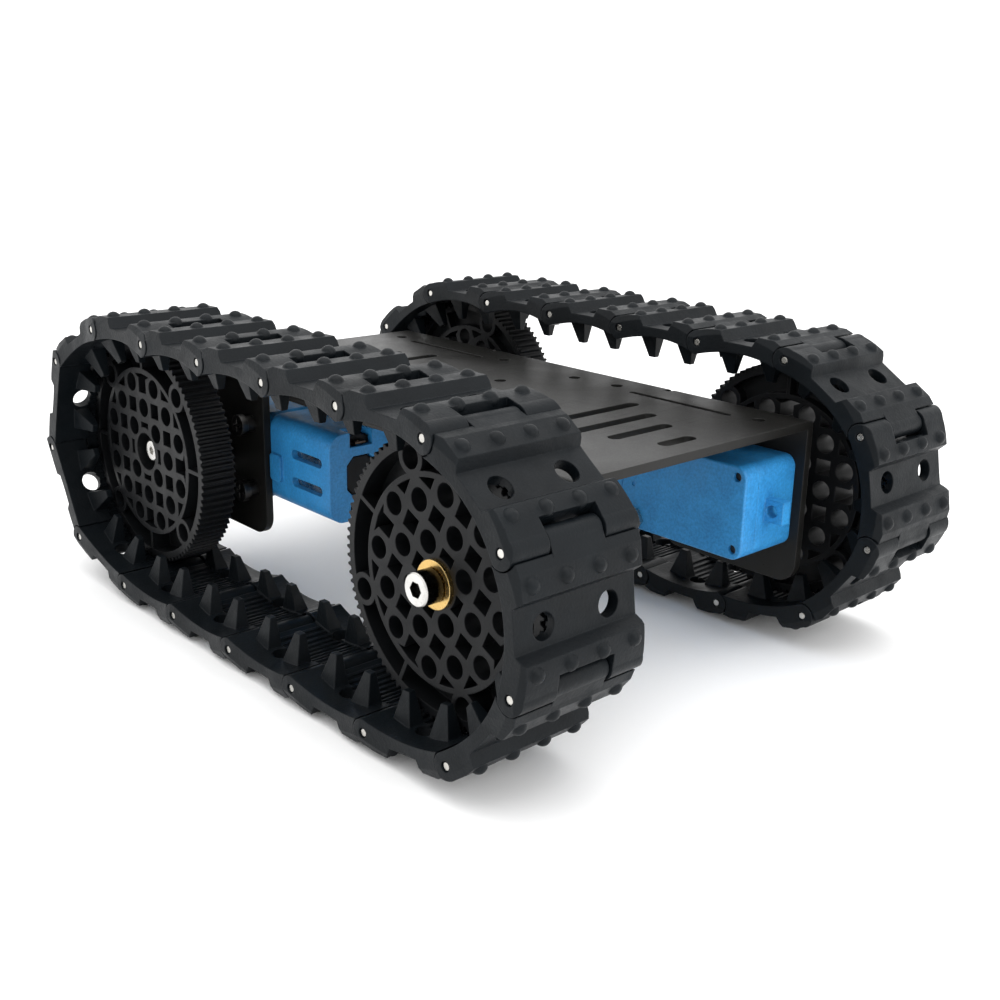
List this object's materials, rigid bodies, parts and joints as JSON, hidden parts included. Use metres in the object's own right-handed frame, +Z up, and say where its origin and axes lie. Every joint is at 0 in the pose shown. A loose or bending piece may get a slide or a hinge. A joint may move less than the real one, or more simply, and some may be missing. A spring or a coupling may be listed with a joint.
{
  "type": "tracked tank chassis",
  "caption": "Slotted metal deck with bent corner flanges carrying link tracks on lattice wheels, driven at opposite corners by boxed gearmotors.",
  "frame": {"origin": "centre of the footprint on the ground plane, under the lowest track studs", "axes": "+X forward along the tracks, +Y to the right-hand track as named here, +Z up"},
  "size_m": [0.1925, 0.1422, 0.0755],
  "materials": {
    "anodised": "black anodised, satin",
    "link_plastic": "moulded nylon, charcoal black satin",
    "wheel_plastic": "moulded nylon, dark grey",
    "nickel": "nickel-plated steel",
    "bright_screw": "bright zinc plate",
    "brass": "turned brass",
    "blue_plastic": "translucent-looking mid-blue moulding, slightly mottled",
    "motor_steel": "nickel-plated steel",
    "black_plastic": "black moulding",
    "copper": "copper strip",
    "white_plastic": "natural acetal"
  },
  "bodies": {
    "chassis": {"deck_plate": "anodised", "left_axle_bolt": "bright_screw", "left_axle_nut": "nickel", "left_axle_spacer": "nickel", "left_case_screws": "nickel", "left_gear_pin": "nickel", "left_gearbox_cover": "blue_plastic", "left_gearbox_shell": "blue_plastic", "left_motor_can": "motor_steel", "left_motor_end_cap": "black_plastic", "left_motor_sleeve": "blue_plastic", "left_motor_terminals": "copper", "left_mount_nuts": "nickel", "left_mount_screws": "bright_screw", "left_mount_sleeves": "nickel", "left_track_bottom": "link_plastic", "left_track_front": "link_plastic", "left_track_pins": "nickel", "left_track_rear": "link_plastic", "left_track_top": "link_plastic", "right_axle_bolt": "bright_screw", "right_axle_nut": "nickel", "right_axle_spacer": "nickel", "right_case_screws": "nickel", "right_gear_pin": "nickel", "right_gearbox_cover": "blue_plastic", "right_gearbox_shell": "blue_plastic", "right_motor_can": "motor_steel", "right_motor_end_cap": "black_plastic", "right_motor_sleeve": "blue_plastic", "right_motor_terminals": "copper", "right_mount_nuts": "nickel", "right_mount_screws": "bright_screw", "right_mount_sleeves": "nickel", "right_track_bottom": "link_plastic", "right_track_front": "link_plastic", "right_track_pins": "nickel", "right_track_rear": "link_plastic", "right_track_top": "link_plastic"},
    "left_drive": {"left_drive_wheel": "wheel_plastic", "left_wheel_screw": "bright_screw", "left_output_gear": "white_plastic"},
    "left_idler": {"left_idler_wheel": "wheel_plastic", "left_idler_bushings": "brass"},
    "left_crown": {"left_crown_gear": "white_plastic"},
    "left_compound": {"left_compound_gear": "white_plastic"},
    "left_second": {"left_second_gear": "white_plastic"},
    "left_armature": {"left_motor_rotor": "motor_steel"},
    "right_drive": {"right_drive_wheel": "wheel_plastic", "right_wheel_screw": "bright_screw", "right_output_gear": "white_plastic"},
    "right_idler": {"right_idler_wheel": "wheel_plastic", "right_idler_bushings": "brass"},
    "right_crown": {"right_crown_gear": "white_plastic"},
    "right_compound": {"right_compound_gear": "white_plastic"},
    "right_second": {"right_second_gear": "white_plastic"},
    "right_armature": {"right_motor_rotor": "motor_steel"}
  },
  "joints": [
    {"name": "left_drive_spin", "type": "hinge", "parent": "chassis", "child": "left_drive", "pos_m": [-0.0602, -0.05515, 0.03777], "axis": [0, 1, 0], "continuous": true},
    {"name": "left_idler_spin", "type": "hinge", "parent": "chassis", "child": "left_idler", "pos_m": [0.0602, -0.05515, 0.03777], "axis": [0, 1, 0], "continuous": true},
    {"name": "left_crown_spin", "type": "hinge", "parent": "chassis", "child": "left_crown", "pos_m": [-0.0497, -0.0286, 0.03777], "axis": [0, 1, 0], "continuous": true},
    {"name": "left_compound_spin", "type": "hinge", "parent": "chassis", "child": "left_compound", "pos_m": [-0.0602, -0.0286, 0.03777], "axis": [0, 1, 0], "continuous": true},
    {"name": "left_second_spin", "type": "hinge", "parent": "chassis", "child": "left_second", "pos_m": [-0.0497, -0.0286, 0.03777], "axis": [0, 1, 0], "continuous": true},
    {"name": "left_armature_spin", "type": "hinge", "parent": "chassis", "child": "left_armature", "pos_m": [-0.022, -0.0286, 0.03777], "axis": [1, 0, 0], "continuous": true},
    {"name": "right_drive_spin", "type": "hinge", "parent": "chassis", "child": "right_drive", "pos_m": [0.0602, 0.05515, 0.03777], "axis": [0, 1, 0], "continuous": true},
    {"name": "right_idler_spin", "type": "hinge", "parent": "chassis", "child": "right_idler", "pos_m": [-0.0602, 0.05515, 0.03777], "axis": [0, 1, 0], "continuous": true},
    {"name": "right_crown_spin", "type": "hinge", "parent": "chassis", "child": "right_crown", "pos_m": [0.0497, 0.0286, 0.03777], "axis": [0, 1, 0], "continuous": true},
    {"name": "right_compound_spin", "type": "hinge", "parent": "chassis", "child": "right_compound", "pos_m": [0.0602, 0.0286, 0.03777], "axis": [0, 1, 0], "continuous": true},
    {"name": "right_second_spin", "type": "hinge", "parent": "chassis", "child": "right_second", "pos_m": [0.0497, 0.0286, 0.03777], "axis": [0, 1, 0], "continuous": true},
    {"name": "right_armature_spin", "type": "hinge", "parent": "chassis", "child": "right_armature", "pos_m": [0.022, 0.0286, 0.03777], "axis": [1, 0, 0], "continuous": true}
  ],
  "couplings": [
    {"joint": "left_second_spin", "follows": "left_drive_spin", "ratio": -4},
    {"joint": "left_compound_spin", "follows": "left_drive_spin", "ratio": 8},
    {"joint": "left_crown_spin", "follows": "left_drive_spin", "ratio": -16},
    {"joint": "left_armature_spin", "follows": "left_drive_spin", "ratio": -48},
    {"joint": "left_idler_spin", "follows": "left_drive_spin", "ratio": 1},
    {"joint": "right_second_spin", "follows": "right_drive_spin", "ratio": -4},
    {"joint": "right_compound_spin", "follows": "right_drive_spin", "ratio": 8},
    {"joint": "right_crown_spin", "follows": "right_drive_spin", "ratio": -16},
    {"joint": "right_armature_spin", "follows": "right_drive_spin", "ratio": -48},
    {"joint": "right_idler_spin", "follows": "right_drive_spin", "ratio": 1}
  ]
}
